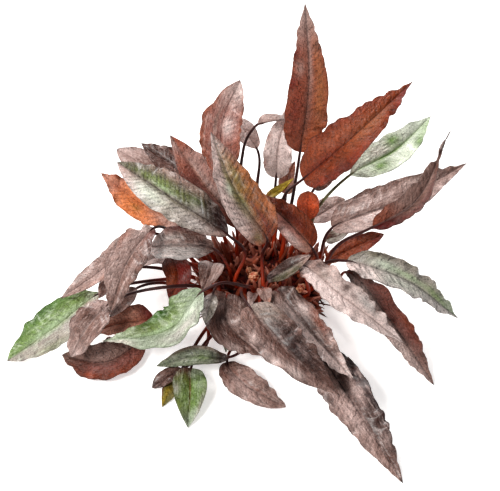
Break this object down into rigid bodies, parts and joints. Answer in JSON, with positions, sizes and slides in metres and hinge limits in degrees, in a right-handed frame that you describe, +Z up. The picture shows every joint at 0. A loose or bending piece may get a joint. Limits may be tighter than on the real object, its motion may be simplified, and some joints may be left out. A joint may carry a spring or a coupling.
{
  "type": "cryptocoryne beckettii plant",
  "caption": "Low clump of long wavy brown, bronze and green leaves on thin arching stalks from one root crown, cut off flat at the ground.",
  "frame": {"origin": "middle of the flat cut under the root crown, at ground level", "axes": "+Z up from the cut, +X to the picture's right, +Y away from the picture's viewer"},
  "size_m": [0.241, 0.191, 0.15],
  "materials": {
    "crown": "matte fibrous rhizome with red-orange young stems",
    "leaf_plum": "satin pink-brown leaf, quilted, silvery sheen, red-brown underside",
    "leaf_bronze": "satin red-brown leaf with fine dark veins",
    "leaf_umber": "satin dark purple-brown leaf",
    "leaf_rose": "satin pale pink-grey leaf",
    "leaf_green": "satin mid-green leaf with a silvery sheen",
    "leaf_pale_green": "satin pale green leaf with white-green mottling",
    "leaf_grey_green": "satin olive and silver-grey quilted leaf with a brown midrib",
    "leaf_orange": "satin orange leaf, mottled brown",
    "leaf_red": "satin brick-red leaf",
    "leaf_yellow": "satin yellow-green leaf"
  },
  "bodies": {
    "root": {"crown": "crown", "leaf_tall": "leaf_bronze", "leaf_bronze": "leaf_bronze", "leaf_bronze_small": "leaf_umber", "leaf_pale_green": "leaf_pale_green", "leaf_back_rose": "leaf_rose", "leaf_back_small": "leaf_rose", "leaf_curled": "leaf_rose", "leaf_pink_upright": "leaf_plum", "leaf_centre_tall": "leaf_grey_green", "leaf_centre_red": "leaf_bronze", "leaf_scarlet": "leaf_red", "leaf_yellow": "leaf_yellow", "leaf_behind_tall": "leaf_plum", "leaf_olive": "leaf_grey_green", "leaf_dark_umber": "leaf_umber", "leaf_far_rose": "leaf_rose", "leaf_bronze_left": "leaf_bronze", "leaf_orange_left": "leaf_orange", "leaf_grey_left": "leaf_plum", "leaf_left_under": "leaf_plum", "leaf_left_arching": "leaf_plum", "leaf_left_green": "leaf_green", "leaf_left_brown": "leaf_plum", "leaf_left_russet": "leaf_red", "leaf_left_low": "leaf_bronze", "leaf_left_short": "leaf_umber", "leaf_left_dark": "leaf_umber", "leaf_dark_red": "leaf_red", "leaf_pink_left": "leaf_rose", "leaf_front_green": "leaf_green", "leaf_front_short": "leaf_plum", "leaf_front_narrow": "leaf_grey_green", "leaf_front_left": "leaf_plum", "leaf_low_grey": "leaf_grey_green", "leaf_low_green": "leaf_green", "leaf_low_brown": "leaf_umber", "leaf_low_yellow": "leaf_yellow", "leaf_low_plum": "leaf_plum", "leaf_low_tip": "leaf_green", "leaf_front_longest": "leaf_plum", "leaf_front_dark": "leaf_umber", "leaf_front_right": "leaf_plum", "leaf_centre_dark": "leaf_umber", "leaf_centre_rose": "leaf_rose", "leaf_centre_plum": "leaf_plum", "leaf_right_rose": "leaf_rose", "leaf_right_bronze": "leaf_bronze", "leaf_right_green": "leaf_grey_green", "leaf_right_orange": "leaf_orange", "leaf_right_plum": "leaf_plum", "leaf_right_twisted": "leaf_bronze", "leaf_right_back": "leaf_rose", "leaf_right_small": "leaf_green"}
  },
  "joints": []
}
